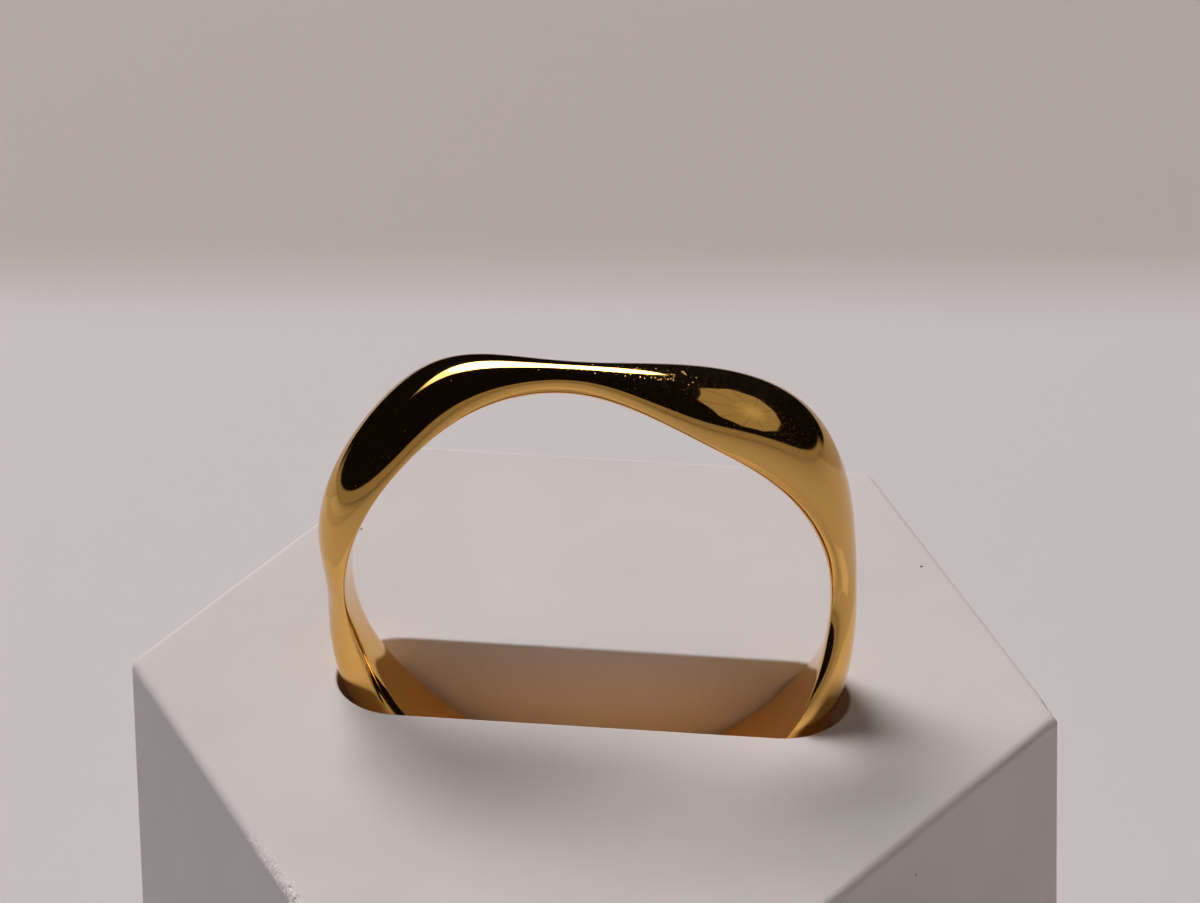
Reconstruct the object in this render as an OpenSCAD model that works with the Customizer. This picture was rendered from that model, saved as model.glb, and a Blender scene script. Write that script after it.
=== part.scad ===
/* [Parts] */
// Sub-part to draw

/* [Ring] */
// Inner diameter of the finger hole
bore_d = 17.3; // [15:0.1:20]
// Height of the finger hole's centre above the block's top face
ring_centre_rise = 4.5; // [4:0.1:6]
// Steps round the ring
ring_steps = 120; // [64:8:160]
// Steps round the band's section
section_steps = 44; // [24:4:60]

/* [Display block] */
// Width of the hexagon from corner to corner
block_corners = 34; // [30:0.5:50]
// Height of the block
block_h = 25; // [15:0.5:40]
// Length of the slot with its round ends
slot_l = 18.7; // [18:0.1:24]
// Width of the slot
slot_w = 4.7; // [4.5:0.1:6]
// Depth of the slot
slot_depth = 6.2; // [6:0.1:10]

/* [Hidden] */

// The band's section every 15 degrees, from the right-hand side over the top, in millimetres.
// front and back are its two edges along Y, front_rise and back_rise are how far those edges stand
// outside the bore, crown is the thickness at the middle, and squareness is that of the section's
// inner half, where 2 is an ellipse.
ANGLE = 0;
FRONT = 1;
BACK = 2;
FRONT_RISE = 3;
BACK_RISE = 4;
CROWN = 5;
SQUARENESS = 6;
STATIONS = [
    // angle, front, back, front_rise, back_rise, crown, squareness
    [0, -0.10, 1.60, 0.20, 0.40, 0.90, 2.4],
    [15, -0.45, 1.90, 0.50, 0.55, 1.20, 2.2],
    [30, -1.05, 2.20, 0.70, 0.75, 1.90, 2.2],
    [45, -1.60, 2.10, 0.65, 0.90, 2.45, 2.2],
    [60, -1.95, 1.40, 0.60, 0.75, 2.35, 2.2],
    [75, -1.55, 0.70, 0.60, 0.55, 1.70, 2.2],
    [90, -0.85, 0.50, 0.60, 0.40, 1.20, 2.2],
    [105, -0.75, 0.95, 0.60, 0.55, 1.33, 2.2],
    [120, -1.15, 1.75, 0.45, 0.60, 1.82, 2.2],
    [135, -1.75, 2.00, 0.25, 0.55, 1.80, 2.2],
    [150, -2.25, 1.10, 0.20, 0.45, 1.75, 2.2],
    [165, -2.30, 0.35, 0.15, 0.35, 1.40, 2.4],
    [180, -1.75, 0.50, 0.10, 0.35, 0.90, 2.8],
    [195, -1.05, 0.90, 0.30, 0.45, 1.25, 3.4],
    [210, -1.30, 1.50, 0.50, 0.60, 1.80, 3.4],
    [225, -1.75, 1.90, 0.60, 0.75, 2.10, 3.4],
    [240, -1.80, 1.70, 0.60, 0.80, 2.10, 3.2],
    [255, -1.70, 1.40, 0.60, 0.75, 1.90, 2.6],
    [270, -1.40, 1.50, 0.60, 0.65, 1.70, 2.4],
    [285, -1.50, 1.90, 0.50, 0.55, 1.60, 2.4],
    [300, -1.60, 2.15, 0.35, 0.35, 1.60, 2.4],
    [315, -1.70, 2.20, 0.10, 0.15, 1.60, 2.4],
    [330, -2.00, 2.10, 0.10, 0.20, 1.45, 2.4],
    [345, -1.15, 1.85, 0.15, 0.35, 1.12, 2.4]
];
STATION_STEP = STATIONS[1][ANGLE] - STATIONS[0][ANGLE];
// Rounds that bring the spline's controls to where it passes through the stations
SETTLE_ROUNDS = 12;
// Extra cut above a face, so that it opens cleanly
CUT = 1;

ring_centre_z = block_h + ring_centre_rise;
gold = [0.83, 0.62, 0.30];
plaster = [0.80, 0.78, 0.77];

function around(values, i) = values[(i + len(values)) % len(values)];

// Second difference at one station of a closed row of values
function bend(values, i) = around(values, i - 1) - 2 * values[i] + around(values, i + 1);

// Controls of a closed cubic spline that passes through the targets
function settle(targets, controls, rounds) =
    rounds == 0 ? controls
    : settle(targets, [for (i = [0:len(targets) - 1]) targets[i] - bend(controls, i) / 6], rounds - 1);

function column(name) = [for (row = STATIONS) row[name]];
function controls(name) = settle(column(name), column(name), SETTLE_ROUNDS);

// Value of a closed cubic spline at u, counted in stations
function spline(c, u) =
    let (i = floor(u), f = u - i, g = 1 - f)
    (g * g * g * around(c, i - 1)
        + (3 * f * f * f - 6 * f * f + 4) * around(c, i)
        + (3 * g * g * g - 6 * g * g + 4) * around(c, i + 1)
        + f * f * f * around(c, i + 2)) / 6;

function signed_power(v, power) = sign(v) * pow(abs(v), power);

// One section of the band as points of [distance from the finger hole's axis, Y]
function section(front, back, front_rise, back_rise, crown, squareness) = [
    for (k = [0:section_steps - 1])
        let (
            turn = (k + 0.5) * 360 / section_steps,
            outer = sin(turn) > 0,
            power = outer ? 1 : 2 / squareness,
            across = signed_power(cos(turn), power),
            up = pow(abs(sin(turn)), power),
            mid_rise = (front_rise + back_rise) / 2,
            rise = mid_rise + across * (back_rise - front_rise) / 2,
            y = (front + back) / 2 + across * (back - front) / 2
        )
        [bore_d / 2 + (outer ? rise + (crown - mid_rise) * up : rise * (1 - up)), y]
];

module ring() {
    front = controls(FRONT);
    back = controls(BACK);
    front_rise = controls(FRONT_RISE);
    back_rise = controls(BACK_RISE);
    crown = controls(CROWN);
    squareness = controls(SQUARENESS);
    points = [
        for (s = [0:ring_steps - 1])
            let (angle = s * 360 / ring_steps, u = angle / STATION_STEP)
            for (p = section(spline(front, u), spline(back, u), spline(front_rise, u),
                             spline(back_rise, u), spline(crown, u), spline(squareness, u)))
                [p[0] * cos(angle), p[1], p[0] * sin(angle)]
    ];
    faces = [
        for (s = [0:ring_steps - 1], k = [0:section_steps - 1])
            let (
                s_next = (s + 1) % ring_steps,
                k_next = (k + 1) % section_steps,
                a = s * section_steps + k,
                b = s_next * section_steps + k,
                c = s_next * section_steps + k_next,
                d = s * section_steps + k_next
            )
            each [[a, c, b], [a, d, c]]
    ];
    color(gold) translate([0, 0, ring_centre_z]) polyhedron(points = points, faces = faces);
}

module slot() {
    end_x = (slot_l - slot_w) / 2;
    floor_z = block_h - slot_depth;
    for (side = [-1, 1])
        translate([side * end_x, 0, floor_z]) cylinder(h = slot_depth + CUT, d = slot_w, $fn = 96);
    translate([-end_x, -slot_w / 2, floor_z]) cube([2 * end_x, slot_w, slot_depth + CUT]);
}

module display_block() {
    color(plaster) difference() {
        cylinder(h = block_h, d = block_corners, $fn = 6);
        slot();
    }
}

ring();
display_block();
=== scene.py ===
import math

import bpy
import numpy as np
from bpy.props import FloatProperty, FloatVectorProperty, IntProperty, PointerProperty
from mathutils import Matrix, Vector, noise


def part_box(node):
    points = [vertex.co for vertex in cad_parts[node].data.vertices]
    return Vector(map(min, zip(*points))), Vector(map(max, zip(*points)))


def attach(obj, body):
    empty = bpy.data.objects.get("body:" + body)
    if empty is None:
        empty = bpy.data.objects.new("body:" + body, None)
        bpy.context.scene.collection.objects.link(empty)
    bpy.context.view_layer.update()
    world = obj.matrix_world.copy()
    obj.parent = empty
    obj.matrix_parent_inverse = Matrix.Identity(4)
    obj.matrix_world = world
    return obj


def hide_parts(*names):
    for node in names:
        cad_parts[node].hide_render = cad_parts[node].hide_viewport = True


bl_info = {
    "name": "Wave ring on a hexagonal display block",
    "version": (1, 0, 0),
    "blender": (4, 5, 0),
    "location": "3D View > Sidebar > Wave ring",
    "description": "Makes the polished wave ring, its cast block and the studio round them",
    "category": "Object",
}

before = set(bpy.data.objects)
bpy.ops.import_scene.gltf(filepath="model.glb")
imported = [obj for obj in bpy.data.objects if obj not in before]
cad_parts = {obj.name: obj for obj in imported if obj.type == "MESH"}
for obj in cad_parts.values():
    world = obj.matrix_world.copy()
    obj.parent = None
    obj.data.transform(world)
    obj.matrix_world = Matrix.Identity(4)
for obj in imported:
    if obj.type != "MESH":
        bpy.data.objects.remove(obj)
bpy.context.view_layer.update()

MM = 0.001
BODY = "root"

# The band's section at equal steps round the finger hole, from the right-hand side over the top,
# in millimetres, as in the part's source
FRONT, BACK, FRONT_RISE, BACK_RISE, CROWN, SQUARENESS = range(6)
STATIONS = (
    # front, back, front_rise, back_rise, crown, squareness
    (-0.10, 1.60, 0.20, 0.40, 0.90, 2.4),
    (-0.45, 1.90, 0.50, 0.55, 1.20, 2.2),
    (-1.05, 2.20, 0.70, 0.75, 1.90, 2.2),
    (-1.60, 2.10, 0.65, 0.90, 2.45, 2.2),
    (-1.95, 1.40, 0.60, 0.75, 2.35, 2.2),
    (-1.55, 0.70, 0.60, 0.55, 1.70, 2.2),
    (-0.85, 0.50, 0.60, 0.40, 1.20, 2.2),
    (-0.75, 0.95, 0.60, 0.55, 1.33, 2.2),
    (-1.15, 1.75, 0.45, 0.60, 1.82, 2.2),
    (-1.75, 2.00, 0.25, 0.55, 1.80, 2.2),
    (-2.25, 1.10, 0.20, 0.45, 1.75, 2.2),
    (-2.30, 0.35, 0.15, 0.35, 1.40, 2.4),
    (-1.75, 0.50, 0.10, 0.35, 0.90, 2.8),
    (-1.05, 0.90, 0.30, 0.45, 1.25, 3.4),
    (-1.30, 1.50, 0.50, 0.60, 1.80, 3.4),
    (-1.75, 1.90, 0.60, 0.75, 2.10, 3.4),
    (-1.80, 1.70, 0.60, 0.80, 2.10, 3.2),
    (-1.70, 1.40, 0.60, 0.75, 1.90, 2.6),
    (-1.40, 1.50, 0.60, 0.65, 1.70, 2.4),
    (-1.50, 1.90, 0.50, 0.55, 1.60, 2.4),
    (-1.60, 2.15, 0.35, 0.35, 1.60, 2.4),
    (-1.70, 2.20, 0.10, 0.15, 1.60, 2.4),
    (-2.00, 2.10, 0.10, 0.20, 1.45, 2.4),
    (-1.15, 1.85, 0.15, 0.35, 1.12, 2.4),
)
# Rounds that bring the spline's controls to where it passes through the stations
SETTLE_ROUNDS = 12
# What the settings that are lengths share, and those that are colours
LENGTH = {"unit": "LENGTH", "subtype": "DISTANCE"}
COLOUR = {"size": 3, "min": 0, "max": 1, "subtype": "COLOR"}
BAND_UV = "band_uv"
GRIT = "arris_grit"
SLOT_SHADE = "slot_shade"
# The band's length round the finger hole and its girth, in millimetres, which its UV map runs over
BAND_LENGTH, BAND_GIRTH = 57.0, 8.0
# Places of a Mix node's two colours and of the colour that it gives
COLOUR_A, COLOUR_B, COLOUR_OUT = 6, 7, 2

# Most that a piece's box may differ from its CAD solid's box
BOX_TOLERANCE = 0.4 * MM


def srgb(code):
    """A hex colour such as #C8B090 as linear red, green and blue."""
    parts = [int(code[i:i + 2], 16) / 255 for i in (1, 3, 5)]
    return tuple(c / 12.92 if c <= 0.04045 else ((c + 0.055) / 1.055) ** 2.4 for c in parts)


def rgba(colour):
    return (*colour, 1.0)


def add_node(tree, kind, links=None, **settings):
    """Adds a node with its settings. links fills its inputs with values, nodes or sockets."""
    node = tree.nodes.new(kind)
    for name, value in settings.items():
        setattr(node, name, value)
    for key, value in (links or {}).items():
        if isinstance(value, bpy.types.Node):
            value = next(s for s in value.outputs if s.enabled)
        if isinstance(value, bpy.types.NodeSocket):
            tree.links.new(value, node.inputs[key])
        else:
            node.inputs[key].default_value = value
    return node


def new_material(name):
    """A material and its empty node tree."""
    material = bpy.data.materials.new(name)
    material.use_nodes = True
    material.node_tree.nodes.clear()
    return material, material.node_tree


def new_piece(name, mesh):
    piece = bpy.data.objects.new(name, mesh)
    bpy.context.scene.collection.objects.link(piece)
    return piece


def hand_over(piece, node):
    """Parents the piece to the body and hides the CAD solid that it stands for, after its box is
    compared with the CAD solid's.
    """
    low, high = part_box(node)
    corners = [Vector(c) for c in piece.bound_box]
    for axis in range(3):
        least = min(c[axis] for c in corners)
        most = max(c[axis] for c in corners)
        if abs(least - low[axis]) > BOX_TOLERANCE or abs(most - high[axis]) > BOX_TOLERANCE:
            raise RuntimeError(f"{piece.name} doesn't fill the box of the CAD node {node}")
    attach(piece, BODY)
    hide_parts(node)


# Ring

def settled_controls(values):
    """Controls of a closed cubic spline that passes through the values."""
    controls = values.copy()
    for _ in range(SETTLE_ROUNDS):
        bend = np.roll(controls, 1, axis=0) - 2 * controls + np.roll(controls, -1, axis=0)
        controls = values - bend / 6
    return controls


def stations_mesh():
    """One vertex for each station, which carries the section's controls as two attributes."""
    controls = settled_controls(np.array(STATIONS))
    controls[:, :SQUARENESS] *= MM
    mesh = bpy.data.meshes.new("band_stations")
    mesh.vertices.add(len(controls))
    for name, columns in (("edges", (FRONT, BACK, CROWN)),
                          ("rises", (FRONT_RISE, BACK_RISE, SQUARENESS))):
        attribute = mesh.attributes.new(name, "FLOAT_VECTOR", "POINT")
        attribute.data.foreach_set("vector", controls[:, columns].astype(np.float32).ravel())
    return mesh


# Sums for each place on the flat sheet, one node each: the name, the operation, what it works on
PLACE_SUMS = (
    ("corners round", "ADD", "steps round", 1.0),
    ("corners across", "ADD", "steps across", 1.0),
    ("share round", "ADD", "x", 0.5),
    ("share across", "ADD", "y", 0.5),
    ("stations along", "MULTIPLY", "share round", "count"),
    ("first", "FLOOR", "stations along"),
    ("ahead", "SUBTRACT", "stations along", "first"),
    ("behind", "SUBTRACT", 1.0, "ahead"),
    # Spline weights of the four stations nearest to the place
    ("ahead squared", "MULTIPLY", "ahead", "ahead"),
    ("ahead cubed", "MULTIPLY", "ahead squared", "ahead"),
    ("ahead bend", "MULTIPLY_ADD", "ahead squared", -6.0, 4.0),
    ("ahead hump", "MULTIPLY_ADD", "ahead cubed", 3.0, "ahead bend"),
    ("behind squared", "MULTIPLY", "behind", "behind"),
    ("behind cubed", "MULTIPLY", "behind squared", "behind"),
    ("behind bend", "MULTIPLY_ADD", "behind squared", -6.0, 4.0),
    ("behind hump", "MULTIPLY_ADD", "behind cubed", 3.0, "behind bend"),
    ("weight 0", "DIVIDE", "behind cubed", 6.0),
    ("weight 1", "DIVIDE", "ahead hump", 6.0),
    ("weight 2", "DIVIDE", "behind hump", 6.0),
    ("weight 3", "DIVIDE", "ahead cubed", 6.0),
    ("place 0", "SUBTRACT", "first", 1.0),
    ("place 2", "ADD", "first", 1.0),
    ("place 3", "ADD", "first", 2.0),
    ("station 0", "FLOORED_MODULO", "place 0", "count"),
    ("station 1", "FLOORED_MODULO", "first", "count"),
    ("station 2", "FLOORED_MODULO", "place 2", "count"),
    ("station 3", "FLOORED_MODULO", "place 3", "count"),
)
# The section: a domed outer half and a squarer inner half, which meet at the band's two edges
SECTION_SUMS = (
    ("turn", "MULTIPLY", "share across", math.tau),
    ("cosine", "COSINE", "turn"),
    ("sine", "SINE", "turn"),
    ("outer", "GREATER_THAN", "sine", 0.0),
    ("inner", "SUBTRACT", 1.0, "outer"),
    ("inner power", "DIVIDE", 2.0, "squareness"),
    ("power", "MULTIPLY_ADD", "inner", "inner power", "outer"),
    ("side", "SIGN", "cosine"),
    ("cosine size", "ABSOLUTE", "cosine"),
    ("sine size", "ABSOLUTE", "sine"),
    ("reach", "POWER", "cosine size", "power"),
    ("across", "MULTIPLY", "side", "reach"),
    ("up", "POWER", "sine size", "power"),
    ("left over", "SUBTRACT", 1.0, "up"),
    ("lean", "SUBTRACT", "back rise", "front rise"),
    ("half lean", "MULTIPLY", "lean", 0.5),
    ("both rises", "ADD", "back rise", "front rise"),
    ("middle rise", "MULTIPLY", "both rises", 0.5),
    ("rise", "MULTIPLY_ADD", "across", "half lean", "middle rise"),
    ("width", "SUBTRACT", "back", "front"),
    ("half width", "MULTIPLY", "width", 0.5),
    ("both edges", "ADD", "back", "front"),
    ("middle", "MULTIPLY", "both edges", 0.5),
    ("band y", "MULTIPLY_ADD", "across", "half width", "middle"),
    ("dome height", "SUBTRACT", "crown", "middle rise"),
    ("dome", "MULTIPLY_ADD", "dome height", "up", "rise"),
    ("hollow", "MULTIPLY", "rise", "left over"),
    ("inner height", "MULTIPLY", "hollow", "inner"),
    ("height", "MULTIPLY_ADD", "dome", "outer", "inner height"),
    ("radius", "MULTIPLY_ADD", "finger hole", 0.5, "height"),
    ("angle", "MULTIPLY", "share round", math.tau),
    ("right", "COSINE", "angle"),
    ("raised", "SINE", "angle"),
    ("band x", "MULTIPLY", "radius", "right"),
    ("band z", "MULTIPLY_ADD", "radius", "raised", "centre height"),
)


def band_tree(material):
    """Geometry Nodes that sweep the section round the finger hole, through the stations."""
    tree = bpy.data.node_groups.new("wave_band", "GeometryNodeTree")
    sockets = (
        ("Stations", "NodeSocketGeometry"),
        ("Finger Hole", "NodeSocketFloat"),
        ("Centre Height", "NodeSocketFloat"),
        ("Steps Round", "NodeSocketInt"),
        ("Steps Across", "NodeSocketInt"),
    )
    for name, kind in sockets:
        tree.interface.new_socket(name, in_out="INPUT", socket_type=kind)
    tree.interface.new_socket("Band", in_out="OUTPUT", socket_type="NodeSocketGeometry")
    given = add_node(tree, "NodeGroupInput").outputs
    place = add_node(tree, "ShaderNodeSeparateXYZ",
                     {0: add_node(tree, "GeometryNodeInputPosition")}).outputs
    count = add_node(tree, "GeometryNodeAttributeDomainSize", {0: given["Stations"]})

    # A sum works on numbers and on what is known by name
    known = {name.lower(): given[name] for name, _ in sockets}
    known.update({"x": place["X"], "y": place["Y"], "count": count.outputs["Point Count"]})
    for name, operation, *operands in PLACE_SUMS:
        links = {at: known.get(operand, operand) for at, operand in enumerate(operands)}
        known[name] = add_node(tree, "ShaderNodeMath", links, operation=operation)

    # A flat sheet, one side of which becomes the way round the hole and the other the section
    grid = add_node(tree, "GeometryNodeMeshGrid", {
        "Size X": 1.0, "Size Y": 1.0,
        "Vertices X": known["corners round"], "Vertices Y": known["corners across"],
    })
    sheet = add_node(tree, "GeometryNodeStoreNamedAttribute", {
        "Geometry": grid, "Name": BAND_UV, "Value": grid.outputs["UV Map"],
    }, data_type="FLOAT2", domain="CORNER")
    # The section at each place, between the four stations nearest to it
    for attribute, names in (("edges", ("front", "back", "crown")),
                             ("rises", ("front rise", "back rise", "squareness"))):
        named = add_node(tree, "GeometryNodeInputNamedAttribute", {0: attribute},
                         data_type="FLOAT_VECTOR")
        total = (0.0, 0.0, 0.0)
        for near in range(4):
            control = add_node(tree, "GeometryNodeSampleIndex", {
                0: given["Stations"], 1: named, 2: known[f"station {near}"],
            }, data_type="FLOAT_VECTOR")
            share = add_node(tree, "ShaderNodeVectorMath",
                             {0: control, "Scale": known[f"weight {near}"]}, operation="SCALE")
            total = add_node(tree, "ShaderNodeVectorMath", {0: share, 1: total}, operation="ADD")
        known.update(zip(names, add_node(tree, "ShaderNodeSeparateXYZ", {0: total}).outputs))
    for name, operation, *operands in SECTION_SUMS:
        links = {at: known.get(operand, operand) for at, operand in enumerate(operands)}
        known[name] = add_node(tree, "ShaderNodeMath", links, operation=operation)

    swept = add_node(tree, "ShaderNodeCombineXYZ", {
        "X": known["band x"], "Y": known["band y"], "Z": known["band z"],
    })
    band = add_node(tree, "GeometryNodeSetPosition", {"Geometry": sheet, "Position": swept})
    closed = add_node(tree, "GeometryNodeMergeByDistance", {"Geometry": band, "Distance": 0.001 * MM})
    smooth = add_node(tree, "GeometryNodeSetShadeSmooth", {"Geometry": closed})
    real = add_node(tree, "GeometryNodeRealizeInstances", {"Geometry": smooth})
    finished = add_node(tree, "GeometryNodeSetMaterial", {"Geometry": real, "Material": material})
    add_node(tree, "NodeGroupOutput", {"Band": finished})
    return tree


def polished_gold(settings):
    """Yellow gold alloy, cast and mirror polished: warm clear reflections that the polishing mop
    leaves faintly wavy, with fine wheel marks and a glitter of dust where it looks upwards."""
    material, tree = new_material("yellow_gold_mirror_polished")
    object_place = add_node(tree, "ShaderNodeTexCoord").outputs["Object"]
    band_place = add_node(tree, "ShaderNodeMapping", {
        "Vector": add_node(tree, "ShaderNodeUVMap", uv_map=BAND_UV),
        "Scale": (BAND_LENGTH, BAND_GIRTH, 1.0),
    })

    # Wheel marks run round the band: 3 mm long and 0.08 mm apart, coarser than real ones to show
    marks = add_node(tree, "ShaderNodeTexNoise", {
        "Vector": add_node(tree, "ShaderNodeMapping",
                           {"Vector": band_place, "Scale": (1 / 3.0, 1 / 0.08, 1.0)}),
        "Scale": 1.0, "Detail": 2.0, "Roughness": 0.6,
    })
    # Slow swells of about 1.5 mm that the mop leaves
    swell = add_node(tree, "ShaderNodeTexNoise", {
        "Vector": object_place, "Scale": 1 / (1.5 * MM), "Detail": 1.0, "Roughness": 0.4,
    })
    # Cloudy patches of about 1 mm, where the polish is a little less bright
    cloud = add_node(tree, "ShaderNodeTexNoise", {
        "Vector": object_place, "Scale": 1 / (1.0 * MM), "Detail": 4.0, "Roughness": 0.6,
    })
    roughness = add_node(tree, "ShaderNodeMapRange", {
        "Value": cloud, "From Min": 0.3, "From Max": 0.7,
        "To Min": settings.roughness * 0.7, "To Max": settings.roughness * 1.3,
    })
    # Dust lies on what looks upwards, most of it right of the middle: cells of 0.05 mm, of which
    # up to nine in ten hold a speck of 0.02 mm
    specks = add_node(tree, "ShaderNodeTexVoronoi", {
        "Vector": object_place, "Scale": 1 / (0.05 * MM),
    })
    in_speck = add_node(tree, "ShaderNodeMath", {0: specks.outputs["Distance"], 1: 0.22},
                        operation="LESS_THAN")
    surface_normal = add_node(tree, "ShaderNodeNewGeometry").outputs["Normal"]
    normal = add_node(tree, "ShaderNodeSeparateXYZ", {0: surface_normal})
    upwards = add_node(tree, "ShaderNodeMapRange", {
        "Value": normal.outputs["Z"], "From Min": 0.2, "From Max": 0.9,
    })
    dusty = add_node(tree, "ShaderNodeMapRange", {
        "Value": add_node(tree, "ShaderNodeSeparateXYZ", {0: object_place}).outputs["X"],
        "From Min": -2 * MM, "From Max": 2 * MM, "To Min": 0.05, "To Max": 0.9,
    })
    chance = add_node(tree, "ShaderNodeSeparateColor", {0: specks.outputs["Color"]})
    chosen = add_node(tree, "ShaderNodeMath", {
        0: chance.outputs["Red"],
        1: add_node(tree, "ShaderNodeMath", {0: upwards, 1: dusty}, operation="MULTIPLY"),
    }, operation="LESS_THAN")
    dust = add_node(tree, "ShaderNodeMath", {0: in_speck, 1: chosen}, operation="MULTIPLY")
    # Under each speck the polish leans its own way, so that specks glitter beside a highlight
    leaning = add_node(tree, "ShaderNodeVectorMath", {
        0: specks.outputs["Color"], 1: (0.5, 0.5, 0.5),
    }, operation="SUBTRACT")
    lean = add_node(tree, "ShaderNodeVectorMath", {
        0: leaning, "Scale": add_node(tree, "ShaderNodeMath", {0: dust, 1: 0.45},
                                      operation="MULTIPLY"),
    }, operation="SCALE")
    turned = add_node(tree, "ShaderNodeVectorMath", {
        0: add_node(tree, "ShaderNodeVectorMath", {0: surface_normal, 1: lean}, operation="ADD"),
    }, operation="NORMALIZE")

    # The marks are a fiftieth as deep as the swells, which are 0.004 mm
    height = add_node(tree, "ShaderNodeMath", {0: marks, 1: 0.02, 2: swell},
                      operation="MULTIPLY_ADD")
    bump = add_node(tree, "ShaderNodeBump", {
        "Distance": 0.004 * MM, "Height": height, "Normal": turned,
    })
    metal = add_node(tree, "ShaderNodeBsdfPrincipled", {
        "Base Color": rgba(settings.gold), "Metallic": 1.0, "Roughness": roughness,
        "Normal": bump,
    })
    # The dust's own pale grey hides only a little of the metal
    lint = add_node(tree, "ShaderNodeBsdfPrincipled", {
        "Base Color": rgba(srgb("#CFC6B8")), "Roughness": 0.8,
    })
    cover = add_node(tree, "ShaderNodeMath", {0: dust, 1: 0.15}, operation="MULTIPLY")
    surface = add_node(tree, "ShaderNodeMixShader", {0: cover, 1: metal, 2: lint})
    add_node(tree, "ShaderNodeOutputMaterial", {"Surface": surface})
    return material


class WaveRingSettings(bpy.types.PropertyGroup):
    """Sizes and finish of the ring"""
    finger_hole: FloatProperty(
        name="Finger hole", description="Inner diameter of the ring",
        default=17.3 * MM, min=15 * MM, max=20 * MM, **LENGTH)
    centre_rise: FloatProperty(
        name="Centre above block", description="Height of the finger hole's centre above the block",
        default=4.5 * MM, min=4 * MM, max=6 * MM, **LENGTH)
    steps_round: IntProperty(
        name="Steps round", description="Faces round the finger hole", default=720, min=64, max=1440)
    steps_across: IntProperty(
        name="Steps across", description="Faces round the band's section", default=120, min=16, max=240)
    gold: FloatVectorProperty(
        name="Gold", description="Colour of the metal seen straight on",
        default=srgb("#E6B564"), **COLOUR)
    roughness: FloatProperty(
        name="Roughness", description="Mean roughness of the polish",
        default=0.06, min=0.0, max=1.0, subtype="FACTOR")


class WAVERING_OT_ring(bpy.types.Operator):
    """Make the polished ring from its stations"""
    bl_idname = "wave_ring.make_ring"
    bl_label = "Make ring"

    def execute(self, context):
        settings = context.scene.wave_ring
        block = context.scene.wave_ring_block
        material = polished_gold(settings)
        tree = band_tree(material)
        source = new_piece("band_stations", stations_mesh())
        modifier = source.modifiers.new("Wave band", "NODES")
        modifier.node_group = tree
        values = {
            "Finger Hole": settings.finger_hole,
            "Centre Height": block.height + settings.centre_rise,
            "Steps Round": settings.steps_round,
            "Steps Across": settings.steps_across,
        }
        for item in tree.interface.items_tree:
            if item.in_out == "INPUT" and item.name in values:
                modifier[item.identifier] = values[item.name]
        evaluated = source.evaluated_get(context.evaluated_depsgraph_get())
        mesh = bpy.data.meshes.new_from_object(evaluated)
        bpy.data.objects.remove(source)
        mesh.name = "ring_band"
        if not mesh.polygons:
            raise RuntimeError("the band's nodes made no faces")
        # The nodes leave an empty slot before the gold
        mesh.materials.pop(index=0)
        hand_over(new_piece("ring_band", mesh), "ring")
        return {"FINISHED"}


# Display block

SIDES = 6
# Radii of the block's upright corners, of the fillet round the slot's floor and of the block's
# foot, in millimetres
CORNER_RADIUS, FILLET, FOOT = 0.45, 0.3, 0.3
# Rows of the mesh up the slot's wall and from the slot to the arris, as shares of the way
WALL_SHARES = (0.08, 0.25, 0.5, 0.75, 0.92)
TOP_SHARES = (0.0, 0.03, 0.08, 0.16, 0.28, 0.42, 0.56, 0.7, 0.82, 0.91, 0.96, 1.0)
# Chips along the block's top arris: where, which way each one's face looks, how deep it cuts, how
# rough it is and how far it reaches, in millimetres
CHIPS = (
    # x, y, z, nx, ny, nz, depth, grain, reach
    (16.75, 0.45, 25.0, 0.72, 0.42, 0.55, 0.20, 0.02, 0.75),
    (16.98, 0.0, 24.9, 0.88, 0.05, 0.47, 0.12, 0.02, 0.45),
)
# The outer share of a chip's reach over which it fades, and how near its face points are cut
CHIP_FADE, CHIP_MARGIN = 0.25, 0.1
# The lumps on a chip's face, coarse and fine: their size in millimetres and share of its roughness
LUMPS = ((0.22, 1.0), (0.09, 0.6))
# Where the casting broke up into bare grains, in millimetres: beside the front-left corner, and
# along the outline in sides from the right corner
GRIT_CENTRE = (-8.9, -14.0)
GRIT_PLACE = 3.78
GRIT_REACH = 4.6
# How far the grit reaches over the top, at its rim and the rest at its middle, and down the side
GRIT_OVER, GRIT_OVER_MORE, GRIT_DOWN = 0.25, 0.35, 0.5
# The bare grains, coarse and fine: their size in millimetres and share of their height
GRAINS = ((0.11, 0.6), (0.055, 0.5))
# How high the grains stand and how far the casting between them is lost, in millimetres
GRAIN_HEIGHT, GRIT_SINK = 0.06, 0.05
# Without a seed the grains would fall differently in each run
GRAIN_SEED = 4
# How far each feature of the outline reaches and the mesh's step over it, in millimetres
CORNER_STEP, CHIP_STEP, GRIT_STEP = (0.3, 0.05), (1.6, 0.07), (GRIT_REACH, 0.06)
# The shortest and longest steps, and how much they grow with each millimetre of distance
SHORTEST_STEP, LONGEST_STEP, STEP_GROWTH = 0.02, 0.36, 0.12
# How far down the slot its shade grows and how far outside it a point still counts, in mm
SHADE_DEPTH, SHADE_MARGIN = 3.0, 0.2


def block_steps(width):
    """Places along the hexagon's outline, closer together at its corners, the chip and the grit."""
    total = SIDES * width
    features = [(corner * width, *CORNER_STEP) for corner in range(SIDES + 1)]
    features += [(0.0, *CHIP_STEP), (total, *CHIP_STEP), (GRIT_PLACE * width, *GRIT_STEP)]
    places, at = [], 0.0
    while at < total - SHORTEST_STEP:
        places.append(at)
        at += min(LONGEST_STEP, *(step + STEP_GROWTH * max(0.0, abs(at - where) - reach)
                                  for where, reach, step in features))
    return np.array(places) / total


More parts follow.
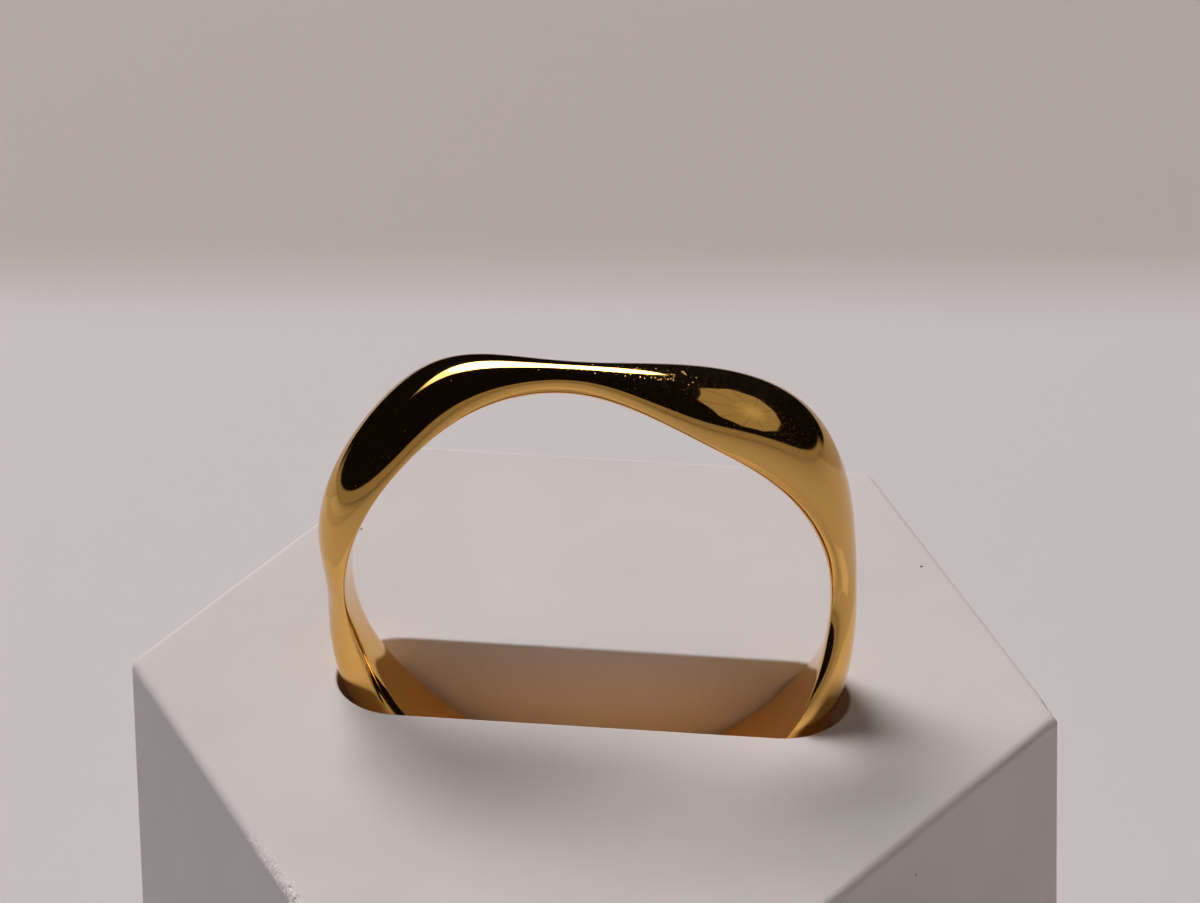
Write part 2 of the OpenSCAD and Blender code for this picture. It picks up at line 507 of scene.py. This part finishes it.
def hexagon(shares, width, inset, corner_radius):
    """Points on a hexagon with small round corners, its first corner on the right."""
    radius = width - inset / math.cos(math.pi / SIDES)
    side = np.minimum((shares * SIDES).astype(int), SIDES - 1)
    along = (shares * SIDES - side) * radius
    cut = corner_radius * math.tan(math.pi / SIDES)
    start = np.minimum(along, cut) / cut
    end = np.minimum(radius - along, cut) / cut
    normal = math.tau / SIDES * (side + 0.5)
    turned = normal + math.pi / SIDES * (start - end)
    middle = np.clip(along, cut, radius - cut) - radius / 2
    apothem = radius * math.cos(math.pi / SIDES) - corner_radius
    x = apothem * np.cos(normal) - middle * np.sin(normal) + corner_radius * np.cos(turned)
    y = apothem * np.sin(normal) + middle * np.cos(normal) + corner_radius * np.sin(turned)
    return np.stack([x, y], 1)


def stadium(shares, length, width, grow):
    """Points on the slot's round-ended outline, grown outwards, its first point on the right."""
    radius, half = width / 2, (length - width) / 2
    quarter = math.pi / 2 * radius + half
    at = shares * 4 * quarter
    quadrant = np.minimum((at / quarter).astype(int), 3)
    rest = at - quadrant * quarter
    rest = np.where(quadrant % 2 == 0, rest, quarter - rest)
    turn = np.minimum(rest / radius, math.pi / 2)
    straight = np.maximum(0, rest - math.pi / 2 * radius)
    x = half - straight + (radius + grow) * np.cos(turn)
    y = (radius + grow) * np.sin(turn)
    x = np.where((quadrant == 1) | (quadrant == 2), -x, x)
    y = np.where(quadrant >= 2, -y, y)
    return np.stack([x, y], 1)


def block_rings(settings):
    """Closed rows of points from the slot's floor, over the top and down to the base."""
    width = settings.corners / 2 / MM
    height = settings.height / MM
    arris, rim = settings.arris / MM, settings.slot_rim / MM
    slot_l, slot_w = settings.slot_length / MM, settings.slot_width / MM
    slot_floor = height - settings.slot_depth / MM
    shares = block_steps(width)

    def outline(inset):
        return hexagon(shares, width, inset, CORNER_RADIUS)

    def slot(grow):
        return stadium(shares, slot_l, slot_w, grow)

    rows = []

    def row(points, z):
        rows.append(np.column_stack([points, np.full(len(points), z)]))

    # The slot's floor, its fillet, its wall and its rim
    row(slot(-FILLET - 0.25), slot_floor)
    for turn in np.linspace(0, 90, 6):
        row(slot(-FILLET * (1 - math.sin(math.radians(turn)))),
            slot_floor + FILLET * (1 - math.cos(math.radians(turn))))
    for share in WALL_SHARES:
        row(slot(0.0), slot_floor + FILLET + share * (height - rim - slot_floor - FILLET))
    for turn in np.linspace(0, 90, 7):
        row(slot(rim * (1 - math.cos(math.radians(turn)))),
            height - rim * (1 - math.sin(math.radians(turn))))
    # The top, with 16 close rows beside the arris, which carry the chips and the grit
    near = arris + 0.06 + 0.055 * np.arange(16)
    inner, outer = slot(rim + 0.12), outline(near[-1] + 0.1)
    for share in TOP_SHARES:
        row(inner * (1 - share) + outer * share, height)
    for inset in near[::-1]:
        row(outline(inset), height)
    for turn in np.linspace(0, 90, 8):
        row(outline(arris * (1 - math.sin(math.radians(turn)))),
            height - arris * (1 - math.cos(math.radians(turn))))
    # The sides, in rows 0.06 mm apart at first, then 0.14 mm, then 14 more down to the foot
    drops = arris + np.concatenate([0.06 * np.arange(1, 9), 0.5 + 0.14 * np.arange(1, 6),
                                    np.linspace(1.6, height - 1.2, 14)])
    for drop in drops:
        row(outline(0.0), height - drop)
    for turn in np.linspace(0, 90, 6):
        row(outline(FOOT * (1 - math.cos(math.radians(turn)))),
            FOOT * (1 - math.sin(math.radians(turn))))
    row(outline(FOOT + 0.3), 0.0)
    return np.array(rows)


def chip_and_grit(points):
    """Cuts the chips, roughens the broken arris, and says how gritty each point is."""
    top = points[:, 2].max()
    for x, y, z, nx, ny, nz, depth, grain, reach in CHIPS:
        face = np.array(Vector((nx, ny, nz)).normalized())
        away = points - np.array((x, y, z))
        over = away @ face + depth
        share = np.clip((reach - np.linalg.norm(away, axis=1)) / (CHIP_FADE * reach), 0, 1)
        for i in np.nonzero((over > -CHIP_MARGIN) & (share > 0))[0]:
            place = Vector(points[i])
            rough = grain * sum(height * noise.noise(place / size) for size, height in LUMPS)
            points[i] -= max(0.0, over[i] + rough) * share[i] * face
    away = np.hypot(points[:, 0] - GRIT_CENTRE[0], points[:, 1] - GRIT_CENTRE[1])
    normals = math.tau / SIDES * (np.arange(SIDES) + 0.5)
    apothem = (points[:, :2] @ np.array([np.cos(normals), np.sin(normals)])).max(1)
    inset = apothem.max() - apothem
    patch = np.clip(1.3 - away / GRIT_REACH, 0, 1)
    over_top = np.clip(1 - inset / (GRIT_OVER + GRIT_OVER_MORE * patch), 0, 1)
    down_side = np.clip(1 - (top - points[:, 2]) / GRIT_DOWN, 0, 1)
    grit = patch * over_top * down_side
    noise.seed_set(GRAIN_SEED)
    for i in np.nonzero(grit > 0.02)[0]:
        place = Vector(points[i])
        bumps = sum((noise.noise_vector(place / size) * height for size, height in GRAINS), Vector())
        points[i] += np.array(bumps) * GRAIN_HEIGHT * grit[i]
        points[i][2] -= GRIT_SINK * grit[i]
    return grit


def depth_in_slot(points, settings):
    """How deep in the slot's shade each point is, from 0 at the top to 1 far down."""
    radius = settings.slot_width / 2 / MM
    half = settings.slot_length / 2 / MM - radius
    away = np.hypot(np.maximum(np.abs(points[:, 0]) - half, 0), points[:, 1])
    down = settings.height / MM - points[:, 2]
    return np.where(away < radius + SHADE_MARGIN, np.clip(down / SHADE_DEPTH, 0, 1), 0.0)


def block_mesh(settings):
    rows = block_rings(settings)
    count, around = rows.shape[:2]
    points = rows.reshape(-1, 3)
    shade = depth_in_slot(points, settings)
    grit = chip_and_grit(points)
    faces = []
    for r in range(count - 1):
        for c in range(around):
            a, b = r * around + c, r * around + (c + 1) % around
            faces.append((a, a + around, b + around, b))
    faces.append(tuple(range(around)))
    faces.append(tuple((count - 1) * around + c for c in reversed(range(around))))
    mesh = bpy.data.meshes.new("plaster_block")
    mesh.from_pydata((points * MM).tolist(), [], faces)
    for name, values in ((GRIT, grit), (SLOT_SHADE, shade)):
        attribute = mesh.attributes.new(name, "FLOAT", "POINT")
        attribute.data.foreach_set("value", values.astype(np.float32))
    mesh.shade_smooth()
    mesh.validate()
    return mesh


def cast_plaster(settings):
    """Gypsum plaster, cast in a smooth mould: chalky and matt, with faint cloudiness, fine grain,
    a few air pits with painted shadow in them, bare sugary crystals where an arris broke, partly
    painted whiter as glints, and painted shade warmed by the gold down the slot's walls."""
    material, tree = new_material("gypsum_plaster_cast")
    place = add_node(tree, "ShaderNodeTexCoord").outputs["Object"]
    # Clouds of about 6 mm from uneven drying
    cloud = add_node(tree, "ShaderNodeTexNoise", {
        "Vector": place, "Scale": 1 / (6 * MM), "Detail": 3.0, "Roughness": 0.5,
    })
    shade = add_node(tree, "ShaderNodeMapRange", {
        "Value": cloud, "From Min": 0.3, "From Max": 0.7, "To Min": 0.97, "To Max": 1.03,
    })
    # Grain of the mould's face, about 0.12 mm, coarser than real gypsum so that it shows
    grain = add_node(tree, "ShaderNodeTexNoise", {
        "Vector": place, "Scale": 1 / (0.12 * MM), "Detail": 3.0, "Roughness": 0.6,
    })
    # Air pits: cells of 1.6 mm, one in five of which holds a pit of about 0.1 mm, whose dark colour is
    # painted shadow inside it
    pits = add_node(tree, "ShaderNodeTexVoronoi", {"Vector": place, "Scale": 1 / (1.6 * MM)})
    pit_edge = add_node(tree, "ShaderNodeMapRange", {
        "Value": pits.outputs["Distance"], "From Min": 0.025, "From Max": 0.045,
        "To Min": 1.0, "To Max": 0.0,
    })
    chance = add_node(tree, "ShaderNodeSeparateColor", {0: pits.outputs["Color"]})
    pit = add_node(tree, "ShaderNodeMath", {
        0: pit_edge, 1: add_node(tree, "ShaderNodeMath", {0: chance.outputs["Red"], 1: 0.78},
                                 operation="GREATER_THAN"),
    }, operation="MULTIPLY")
    # Crystals of about 0.07 mm on the broken arris, coloured whiter than the plaster: partly the bare
    # crystals' own white, partly painted glints
    crystals = add_node(tree, "ShaderNodeTexVoronoi", {"Vector": place, "Scale": 1 / (0.07 * MM)})
    crystal = add_node(tree, "ShaderNodeSeparateColor", {0: crystals.outputs["Color"]})
    broken = add_node(tree, "ShaderNodeAttribute", attribute_name=GRIT).outputs["Fac"]

    base = add_node(tree, "ShaderNodeMix", {
        "Factor": 1.0, COLOUR_A: rgba(settings.plaster),
        COLOUR_B: add_node(tree, "ShaderNodeCombineColor", {0: shade, 1: shade, 2: shade}),
    }, data_type="RGBA", blend_type="MULTIPLY")
    glint = add_node(tree, "ShaderNodeMath", {
        0: broken, 1: add_node(tree, "ShaderNodeMath", {0: crystal.outputs["Green"], 1: 0.45},
                               operation="GREATER_THAN"),
    }, operation="MULTIPLY")
    # Each crystal's face looks its own way, so that some catch the light
    faces = add_node(tree, "ShaderNodeVectorMath", {
        0: crystals.outputs["Color"], 1: (0.5, 0.5, 0.5),
    }, operation="SUBTRACT")
    facing = add_node(tree, "ShaderNodeVectorMath", {
        0: add_node(tree, "ShaderNodeVectorMath", {
            0: faces, 1: add_node(tree, "ShaderNodeCombineXYZ", {0: glint, 1: glint, 2: glint}),
        }, operation="MULTIPLY"),
        1: (3.0, 3.0, 3.0),
        2: add_node(tree, "ShaderNodeNewGeometry").outputs["Normal"],
    }, operation="MULTIPLY_ADD")
    turned = add_node(tree, "ShaderNodeVectorMath", {0: facing}, operation="NORMALIZE")
    # Painted shade and painted warm light from the gold on the slot's walls, stronger further down
    painted_warm_shade = add_node(tree, "ShaderNodeMapRange", {
        "Value": add_node(tree, "ShaderNodeAttribute", attribute_name=SLOT_SHADE).outputs["Fac"],
        "From Min": 0.02, "From Max": 1.0, "To Min": 0.0, "To Max": 0.8,
    })
    # Painted shadow in the pits, the crystals' white with its painted glints, and the painted warm
    # shade in the slot, one over the other
    colour = base.outputs[COLOUR_OUT]
    for factor, code in ((pit, "#6E645E"), (glint, "#FFF7F8"), (painted_warm_shade, "#EED3AB")):
        colour = add_node(tree, "ShaderNodeMix", {
            "Factor": factor, COLOUR_A: colour, COLOUR_B: rgba(srgb(code)),
        }, data_type="RGBA").outputs[COLOUR_OUT]
    # Pits go in by the whole of the bump, the grain by an eighth of it
    depth = add_node(tree, "ShaderNodeMath", {
        0: pit, 1: -1.0, 2: add_node(tree, "ShaderNodeMath", {0: grain, 1: 0.12},
                                     operation="MULTIPLY"),
    }, operation="MULTIPLY_ADD")
    rough_depth = add_node(tree, "ShaderNodeMath", {
        0: glint, 1: crystal.outputs["Blue"], 2: depth,
    }, operation="MULTIPLY_ADD")
    bump = add_node(tree, "ShaderNodeBump", {
        "Strength": 0.5, "Distance": 0.04 * MM, "Height": rough_depth, "Normal": turned,
    })
    plaster = add_node(tree, "ShaderNodeBsdfPrincipled", {
        "Base Color": colour, "Roughness": 0.85, "Diffuse Roughness": 0.4,
        "Normal": bump,
    })
    add_node(tree, "ShaderNodeOutputMaterial", {"Surface": plaster})
    return material


class DisplayBlockSettings(bpy.types.PropertyGroup):
    """Sizes and finish of the cast block"""
    corners: FloatProperty(
        name="Width over corners", description="Width of the hexagon from corner to corner",
        default=34 * MM, min=30 * MM, max=50 * MM, **LENGTH)
    height: FloatProperty(
        name="Height", description="Height of the block",
        default=25 * MM, min=15 * MM, max=40 * MM, **LENGTH)
    slot_length: FloatProperty(
        name="Slot length", description="Length of the slot with its round ends",
        default=18.7 * MM, min=18 * MM, max=24 * MM, **LENGTH)
    slot_width: FloatProperty(
        name="Slot width", description="Width of the slot",
        default=4.7 * MM, min=4.5 * MM, max=6 * MM, **LENGTH)
    slot_depth: FloatProperty(
        name="Slot depth", description="Depth of the slot",
        default=6.2 * MM, min=6 * MM, max=10 * MM, **LENGTH)
    arris: FloatProperty(
        name="Arris radius", description="Rounding of the block's top edges",
        default=0.34 * MM, min=0.02 * MM, max=1 * MM, **LENGTH)
    slot_rim: FloatProperty(
        name="Slot rim radius", description="Rounding of the slot's top edge",
        default=0.12 * MM, min=0.02 * MM, max=1 * MM, **LENGTH)
    plaster: FloatVectorProperty(
        name="Plaster", description="Colour of the cast plaster",
        default=srgb("#F0EAEC"), **COLOUR)


class WAVERING_OT_block(bpy.types.Operator):
    """Make the cast block with its slot, softened arrises and chipped corner"""
    bl_idname = "wave_ring.make_block"
    bl_label = "Make display block"

    def execute(self, context):
        settings = context.scene.wave_ring_block
        piece = new_piece("plaster_block", block_mesh(settings))
        piece.data.materials.append(cast_plaster(settings))
        hand_over(piece, "display_block")
        return {"FINISHED"}


# Stage

# The camera's angles, its place from the middle of the block's top along its own axes, and its
# lens and sensor width in millimetres
CAMERA_ELEVATION, CAMERA_AZIMUTH, CAMERA_ROLL = (math.radians(a) for a in (34.7708, 7.9622, -1.1662))
CAMERA_BACK, CAMERA_RIGHT, CAMERA_UP = 471.8 * MM, 0.263 * MM, 8.563 * MM
LENS, SENSOR = 390.0, 36.0
# The floor's far edge is almost square to the camera, and so turned from the block's X axis
FLOOR_TURN = math.radians(5.9)
# Half the width of the floor's blurred far edge, and how far below the block the floor lies
EDGE_BLUR, FLOOR_DROP = 4 * MM, 0.01 * MM
# A grey strip of floor on the left: its middle, half its width before and after its edges fade, in
# metres, and how grey it is
STRIP_X, STRIP_INNER, STRIP_OUTER, STRIP_GREY = -0.13, 0.025, 0.035, 0.6


def floor_material(settings):
    """Honed pale stone: a plain matt floor, with a warm grey beyond its edge."""
    material, tree = new_material("pale_stone_honed")
    place = add_node(tree, "ShaderNodeTexCoord").outputs["Object"]
    turned = add_node(tree, "ShaderNodeSeparateXYZ", {0: add_node(tree, "ShaderNodeMapping", {
        "Vector": place, "Rotation": (0.0, 0.0, -FLOOR_TURN),
    })}).outputs
    beyond = add_node(tree, "ShaderNodeMapRange", {
        "Value": turned["Y"], "From Min": settings.table_edge - EDGE_BLUR,
        "From Max": settings.table_edge + EDGE_BLUR,
    }, interpolation_type="SMOOTHSTEP")
    # The ring's left flank mirrors a grey strip of floor on that side, with pale floor further out
    sideways = add_node(tree, "ShaderNodeMath", {0: turned["X"], 1: STRIP_X},
                        operation="SUBTRACT")
    strip = add_node(tree, "ShaderNodeMapRange", {
        "Value": add_node(tree, "ShaderNodeMath", {0: sideways}, operation="ABSOLUTE"),
        "From Min": STRIP_INNER, "From Max": STRIP_OUTER, "To Min": STRIP_GREY, "To Max": 0.0,
    })
    off_stone = add_node(tree, "ShaderNodeMath", {0: beyond, 1: strip}, operation="MAXIMUM")
    colour = add_node(tree, "ShaderNodeMix", {
        "Factor": off_stone, COLOUR_A: rgba(settings.floor), COLOUR_B: rgba(settings.backdrop),
    }, data_type="RGBA")
    surface = add_node(tree, "ShaderNodeBsdfPrincipled", {
        "Base Color": colour.outputs[COLOUR_OUT], "Roughness": 0.6, "Specular IOR Level": 0.2,
    })
    add_node(tree, "ShaderNodeOutputMaterial", {"Surface": surface})
    return material


def make_floor(settings):
    half, back = settings.floor_half, settings.floor_back
    turn = Matrix.Rotation(FLOOR_TURN, 3, "Z")
    mesh = bpy.data.meshes.new("studio_floor")
    corners = [turn @ Vector((x, y, -FLOOR_DROP)) for x, y in
               ((-half, -half), (half, -half), (half, back), (-half, back))]
    mesh.from_pydata(corners, [], [(0, 1, 2, 3)])
    mesh.materials.append(floor_material(settings))
    floor = new_piece("studio_floor", mesh)


# The way from the ring to each of the studio's two lit cloths, and how far away they are, in metres
RING_TOP = (0.0, 0.0, 0.035)
BOX_TOWARDS, BOX_DISTANCE = (-0.46, 0.497, 0.737), 0.7
UMBRELLA_TOWARDS, UMBRELLA_DISTANCE = (0.776, -0.223, 0.589), 0.62
# Corners of the soft box's cloth and the place of its lamp, to the right and up from the middle
BOX_CORNERS = ((-0.25, -0.07), (0.44, -0.21), (0.18, 0.14), (0.06, 0.24), (-0.22, 0.24))
BOX_LAMP = (-0.04, 0.08)
# How far from the lamp its hot middle and then its dim rest fade, and how much the rest glows
HOT_FADE, REST_FADE, REST_GLOW = (0.14, 0.26), (0.32, 0.54), (2.6, 0.1)
# The way that the umbrella's shaft points, how far its ribs reach and how deep its cloth sags
UMBRELLA_SHAFT, UMBRELLA_REACH, UMBRELLA_SAG = (0.09, -0.36, 0.93), 0.42, 0.02
RIBS = 10
# Steps of the mesh from rib to rib and from hub to rim, and the share by which the rim is pulled in
# between two ribs
STEPS_BETWEEN_RIBS, STEPS_OUT, RIM_PULL = 16, 12, 0.07


def hang_cloth(mesh, material, code, strength):
    """Hangs a glowing cloth in the studio, which lights and is reflected but isn't seen itself."""
    glow = add_node(material.node_tree, "ShaderNodeEmission", {
        "Color": rgba(srgb(code)), "Strength": strength,
    })
    add_node(material.node_tree, "ShaderNodeOutputMaterial", {"Surface": glow})
    mesh.materials.append(material)
    cloth = new_piece(mesh.name, mesh)
    cloth.visible_camera = False


def make_key(settings):
    """A soft box behind and to the left, above the ring."""
    towards = Vector(BOX_TOWARDS).normalized()
    turn = towards.to_track_quat("Z", "Y").to_matrix()
    middle = Vector(RING_TOP) + towards * BOX_DISTANCE
    mesh = bpy.data.meshes.new("soft_box")
    mesh.from_pydata([middle + turn @ Vector((x, y, 0.0)) for x, y in BOX_CORNERS], [],
                     [tuple(reversed(range(len(BOX_CORNERS))))])
    material, tree = new_material("soft_box_cloth_lit")
    # Its lamp lights the middle of the cloth strongly and the long corner on the right weakly
    from_lamp = add_node(tree, "ShaderNodeVectorMath", {
        0: add_node(tree, "ShaderNodeTexCoord").outputs["Object"],
        1: middle + turn @ Vector((*BOX_LAMP, 0.0)),
    }, operation="DISTANCE")
    hot = add_node(tree, "ShaderNodeMapRange", {
        "Value": from_lamp, "From Min": HOT_FADE[0], "From Max": HOT_FADE[1],
        "To Min": settings.key_glow, "To Max": 0.0,
    }, interpolation_type="SMOOTHSTEP")
    rest = add_node(tree, "ShaderNodeMapRange", {
        "Value": from_lamp, "From Min": REST_FADE[0], "From Max": REST_FADE[1],
        "To Min": REST_GLOW[0], "To Max": REST_GLOW[1],
    }, interpolation_type="SMOOTHSTEP")
    strength = add_node(tree, "ShaderNodeMath", {0: hot, 1: rest}, operation="ADD")
    hang_cloth(mesh, material, "#FFFCF9", strength)


def make_umbrella(settings):
    """A shallow umbrella in front and to the right, which glows softly and shows its ribs."""
    hub = Vector(RING_TOP) + Vector(UMBRELLA_TOWARDS).normalized() * UMBRELLA_DISTANCE
    turn = Vector(UMBRELLA_SHAFT).normalized().to_track_quat("Z", "Y").to_matrix()
    steps, rings = STEPS_BETWEEN_RIBS, STEPS_OUT
    points, faces = [], []
    around = RIBS * steps
    for r in range(rings + 1):
        out = r / rings
        for c in range(around):
            pull = 1 - RIM_PULL * out * math.sin(math.pi * (c % steps) / steps)
            angle = math.tau * c / around
            reach = UMBRELLA_REACH * out * pull
            points.append(hub + turn @ Vector((reach * math.cos(angle), reach * math.sin(angle),
                                               -UMBRELLA_SAG * out * out)))
    for r in range(rings):
        for c in range(around):
            a, b = r * around + c, r * around + (c + 1) % around
            faces.append((a, b, b + around, a + around))
    mesh = bpy.data.meshes.new("umbrella")
    mesh.from_pydata(points, [], faces)
    rib = mesh.attributes.new("rib", "FLOAT", "POINT")
    rib.data.foreach_set("value", [abs((c % steps) / steps - 0.5) * 2 for _ in range(rings + 1)
                                   for c in range(around)])
    outwards = mesh.attributes.new("out", "FLOAT", "POINT")
    outwards.data.foreach_set("value", [r / rings for r in range(rings + 1) for _ in range(around)])
    material, tree = new_material("umbrella_cloth_lit")
    # The cloth is darker over its ribs and brighter towards its hub
    near_rib = add_node(tree, "ShaderNodeMapRange", {
        "Value": add_node(tree, "ShaderNodeAttribute", attribute_name="rib").outputs["Fac"],
        "From Min": 0.9, "From Max": 1.0, "To Min": 1.0, "To Max": 0.4,
    })
    near_hub = add_node(tree, "ShaderNodeMapRange", {
        "Value": add_node(tree, "ShaderNodeAttribute", attribute_name="out").outputs["Fac"],
        "From Min": 0.0, "From Max": 0.5, "To Min": 1.5, "To Max": 0.9,
    })
    strength = add_node(tree, "ShaderNodeMath", {
        0: add_node(tree, "ShaderNodeMath", {0: near_rib, 1: near_hub}, operation="MULTIPLY"),
        1: settings.fill_glow,
    }, operation="MULTIPLY")
    hang_cloth(mesh, material, "#FFF4E4", strength)


# The low wall's top as a height on the sky: at the sides, and how much more in front
WALL_TOP, WALL_TOP_MORE = 0.03, 0.12
# How blurred the wall's top is, and how far to the back the wall fades
WALL_BLUR, WALL_FADE = 0.01, (0.45, 0.65)
# How bright the backdrop is where the camera sees it
BACKDROP_GLOW = 0.75


def make_world(settings):
    """A dim room with a low pale wall round the front, and a pale one behind for the camera."""
    world = bpy.data.worlds.new("studio_room")
    world.use_nodes = True
    tree = world.node_tree
    tree.nodes.clear()
    way = add_node(tree, "ShaderNodeSeparateXYZ",
                   {0: add_node(tree, "ShaderNodeTexCoord").outputs["Generated"]}).outputs
    # The wall's top is highest straight in front, lower at the sides, and there is none behind
    top = add_node(tree, "ShaderNodeMath", {0: way["Y"], 1: -WALL_TOP_MORE, 2: WALL_TOP},
                   operation="MULTIPLY_ADD")
    below = add_node(tree, "ShaderNodeMath", {0: top, 1: way["Z"]}, operation="SUBTRACT")
    low = add_node(tree, "ShaderNodeMapRange", {
        "Value": below, "From Min": -WALL_BLUR, "From Max": WALL_BLUR,
    })
    front = add_node(tree, "ShaderNodeMapRange", {
        "Value": way["Y"], "From Min": WALL_FADE[0], "From Max": WALL_FADE[1],
        "To Min": 1.0, "To Max": 0.0,
    })
    wall = add_node(tree, "ShaderNodeMath", {0: low, 1: front}, operation="MULTIPLY")
    glow = add_node(tree, "ShaderNodeMapRange", {
        "Value": wall, "To Min": settings.room_glow, "To Max": settings.wall_glow,
    })
    dim = add_node(tree, "ShaderNodeBackground", {
        "Color": rgba(srgb("#FFF2E2")), "Strength": glow,
    })
    pale = add_node(tree, "ShaderNodeBackground", {
        "Color": rgba(settings.backdrop), "Strength": BACKDROP_GLOW,
    })
    seen = add_node(tree, "ShaderNodeLightPath").outputs["Is Camera Ray"]
    room = add_node(tree, "ShaderNodeMixShader", {0: seen, 1: dim, 2: pale})
    add_node(tree, "ShaderNodeOutputWorld", {"Surface": room})
    bpy.context.scene.world = world


def make_camera(block_height):
    """The photograph's long lens, from above the front and a little to the right."""
    e, a, roll = CAMERA_ELEVATION, CAMERA_AZIMUTH, CAMERA_ROLL
    back = Vector((math.sin(a) * math.cos(e), -math.cos(a) * math.cos(e), math.sin(e)))
    level = Vector((math.cos(a), math.sin(a), 0.0))
    upright = back.cross(level)
    right = math.cos(roll) * level + math.sin(roll) * upright
    up = -math.sin(roll) * level + math.cos(roll) * upright
    data = bpy.data.cameras.new("camera")
    data.lens, data.sensor_width = LENS, SENSOR
    data.clip_start, data.clip_end = 0.02, 20.0
    camera = bpy.data.objects.new("camera", data)
    turn = Matrix((right, up, back)).transposed().to_4x4()
    place = back * CAMERA_BACK + right * CAMERA_RIGHT + up * CAMERA_UP + Vector((0, 0, block_height))
    camera.matrix_world = Matrix.Translation(place) @ turn
    bpy.context.scene.collection.objects.link(camera)
    bpy.context.scene.camera = camera


class StudioSettings(bpy.types.PropertyGroup):
    """Floor and lights"""
    floor: FloatVectorProperty(
        name="Floor", description="Colour of the pale floor",
        default=srgb("#DCD6DA"), **COLOUR)
    backdrop: FloatVectorProperty(
        name="Backdrop", description="Colour beyond the floor's far edge",
        default=srgb("#C2B9B5"), **COLOUR)
    floor_half: FloatProperty(
        name="Floor half width", description="From the middle of the floor to its edge",
        default=0.6, min=0.2, max=5, **LENGTH)
    floor_back: FloatProperty(
        name="Ground behind", description="How far behind the block the grey ground ends in the dark",
        default=0.15, min=0.1, max=5, **LENGTH)
    table_edge: FloatProperty(
        name="Floor edge", description="How far behind the block the pale floor ends",
        default=0.0632, min=0.03, max=1, **LENGTH)
    key_glow: FloatProperty(
        name="Key glow", description="Glow of the middle of the soft box", default=8.7, min=0, max=100)
    fill_glow: FloatProperty(
        name="Fill glow", description="Glow of the umbrella in front", default=0.40, min=0, max=10)
    room_glow: FloatProperty(
        name="Room glow", description="Light of the room itself", default=0.005, min=0, max=1)
    wall_glow: FloatProperty(
        name="Wall glow", description="Light of the low wall in front", default=0.28, min=0, max=1)


class WAVERING_OT_stage(bpy.types.Operator):
    """Make the floor, the lights, the room and the camera"""
    bl_idname = "wave_ring.make_stage"
    bl_label = "Make stage"

    def execute(self, context):
        settings = context.scene.wave_ring_studio
        make_floor(settings)
        make_key(settings)
        make_umbrella(settings)
        make_world(settings)
        make_camera(context.scene.wave_ring_block.height)
        context.scene.view_settings.view_transform = "Standard"
        return {"FINISHED"}


class WAVERING_PT_panel(bpy.types.Panel):
    """Settings and buttons for the ring, its block and the stage"""
    bl_idname = "WAVERING_PT_panel"
    bl_label = "Wave ring"
    bl_space_type = "VIEW_3D"
    bl_region_type = "UI"
    bl_category = "Wave ring"

    def draw(self, context):
        for settings, operator in (
            (context.scene.wave_ring, WAVERING_OT_ring),
            (context.scene.wave_ring_block, WAVERING_OT_block),
            (context.scene.wave_ring_studio, WAVERING_OT_stage),
        ):
            box = self.layout.box()
            for name in type(settings).__annotations__:
                box.prop(settings, name)
            box.operator(operator.bl_idname)


CLASSES = (
    WaveRingSettings, DisplayBlockSettings, StudioSettings,
    WAVERING_OT_ring, WAVERING_OT_block, WAVERING_OT_stage, WAVERING_PT_panel,
)
SCENE_SETTINGS = {
    "wave_ring": WaveRingSettings,
    "wave_ring_block": DisplayBlockSettings,
    "wave_ring_studio": StudioSettings,
}


def register():
    for item in CLASSES:
        bpy.utils.register_class(item)
    for name, group in SCENE_SETTINGS.items():
        setattr(bpy.types.Scene, name, PointerProperty(type=group))


def unregister():
    for name in SCENE_SETTINGS:
        delattr(bpy.types.Scene, name)
    for item in reversed(CLASSES):
        bpy.utils.unregister_class(item)


def main():
    register()
    bpy.ops.wave_ring.make_ring()
    bpy.ops.wave_ring.make_block()
    bpy.ops.wave_ring.make_stage()


if __name__ == "__main__":
    main()
